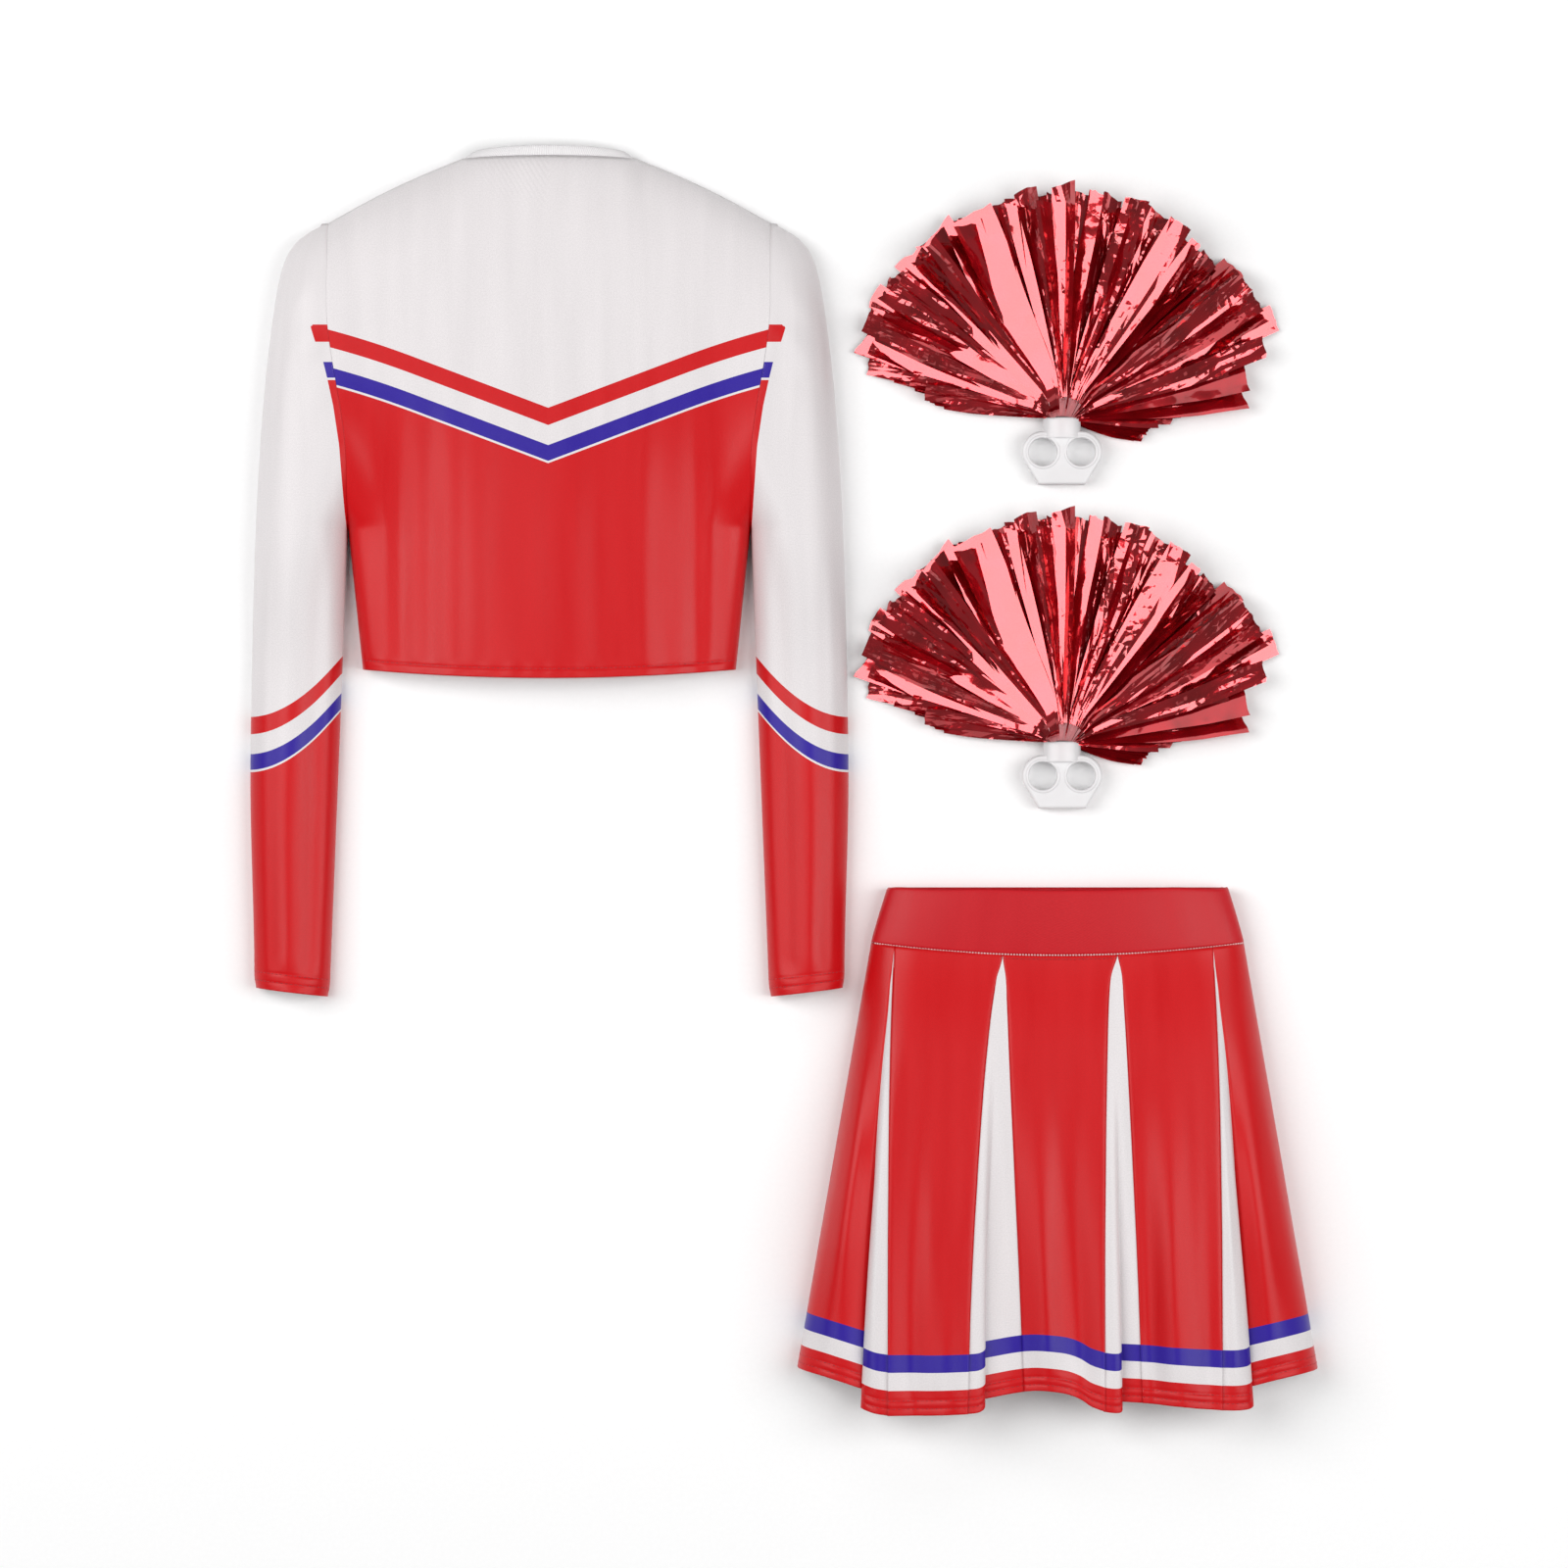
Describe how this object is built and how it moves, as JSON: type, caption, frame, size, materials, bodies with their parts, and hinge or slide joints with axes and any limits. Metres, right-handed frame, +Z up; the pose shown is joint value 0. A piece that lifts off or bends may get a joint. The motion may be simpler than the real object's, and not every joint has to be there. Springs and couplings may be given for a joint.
{
  "type": "cheer uniform",
  "caption": "Cheer uniform laid out flat: long-sleeved crop top, pleated skirt with inset godets and a pair of finger-grip foil pompoms, with folding sleeves and flopping streamers.",
  "frame": {"origin": "middle of the laid-out set, on the surface that it lies on", "axes": "+X to the right across the layout, +Y towards the top's neck, +Z up off the surface; the top lies with its back up and the skirt with its front up"},
  "size_m": [0.799, 0.947, 0.0625],
  "materials": {
    "red_knit": "satin knit",
    "white_knit": "satin knit",
    "blue_knit": "satin knit",
    "elastic": "woven elastic",
    "handle_plastic": "moulded, semi-gloss",
    "red_foil": "metallised film, crumpled"
  },
  "bodies": {
    "top": {"back_body_panel": "red_knit", "front_body_panel": "red_knit", "neck_band": "white_knit", "left_upper_sleeve": "white_knit", "right_upper_sleeve": "white_knit"},
    "left_forearm": {"left_lower_sleeve": "red_knit"},
    "right_forearm": {"right_lower_sleeve": "red_knit"},
    "skirt": {"waistband_outer": "red_knit", "waistband_elastic": "elastic", "waistband_lining": "red_knit", "front_gore_left_of_centre": "red_knit", "front_gore_centre": "red_knit", "front_gore_right_of_centre": "red_knit", "front_godet_far_left": "white_knit", "front_godet_left": "white_knit", "front_godet_right": "white_knit", "front_godet_far_right": "white_knit", "back_gore_left_of_centre": "red_knit", "back_gore_centre": "red_knit", "back_gore_right_of_centre": "red_knit", "back_godet_far_left": "white_knit", "back_godet_left": "white_knit", "back_godet_right": "white_knit", "back_godet_far_right": "white_knit", "side_gore_left": "red_knit", "side_gore_right": "red_knit"},
    "pompom_1": {"pompom_1_handle": "handle_plastic", "pompom_1_streamer_root": "red_foil"},
    "pompom_1_tuft": {"pompom_1_streamers_far_left": "red_foil", "pompom_1_streamers_left": "red_foil", "pompom_1_streamers_upper_left": "red_foil", "pompom_1_streamers_top": "red_foil", "pompom_1_streamers_upper_right": "red_foil", "pompom_1_streamers_right": "red_foil", "pompom_1_streamers_far_right": "red_foil"},
    "pompom_2": {"pompom_2_handle": "handle_plastic", "pompom_2_streamer_root": "red_foil"},
    "pompom_2_tuft": {"pompom_2_streamers_far_left": "red_foil", "pompom_2_streamers_left": "red_foil", "pompom_2_streamers_upper_left": "red_foil", "pompom_2_streamers_top": "red_foil", "pompom_2_streamers_upper_right": "red_foil", "pompom_2_streamers_right": "red_foil", "pompom_2_streamers_far_right": "red_foil"}
  },
  "joints": [
    {"name": "left_sleeve_fold", "type": "hinge", "parent": "top", "child": "left_forearm", "pos_m": [-0.36569, 0.1131, 0.03442], "axis": [-1, 0, 0], "range_deg": [0, 165]},
    {"name": "right_sleeve_fold", "type": "hinge", "parent": "top", "child": "right_forearm", "pos_m": [0.01431, 0.1131, 0.03442], "axis": [-1, 0, 0], "range_deg": [0, 165]},
    {"name": "skirt_lift", "type": "slide", "parent": "top", "child": "skirt", "axis": [0, 0, 1], "range_m": [0, 0.3]},
    {"name": "pompom_1_lift", "type": "slide", "parent": "top", "child": "pompom_1", "axis": [0, 0, 1], "range_m": [0, 0.3]},
    {"name": "pompom_1_flop", "type": "hinge", "parent": "pompom_1", "child": "pompom_1_tuft", "pos_m": [0.20811, 0.2705, 0.02], "axis": [1, 0, 0], "range_deg": [0, 45]},
    {"name": "pompom_2_lift", "type": "slide", "parent": "top", "child": "pompom_2", "axis": [0, 0, 1], "range_m": [0, 0.3]},
    {"name": "pompom_2_flop", "type": "hinge", "parent": "pompom_2", "child": "pompom_2_tuft", "pos_m": [0.20811, 0.028, 0.02], "axis": [1, 0, 0], "range_deg": [0, 45]}
  ]
}
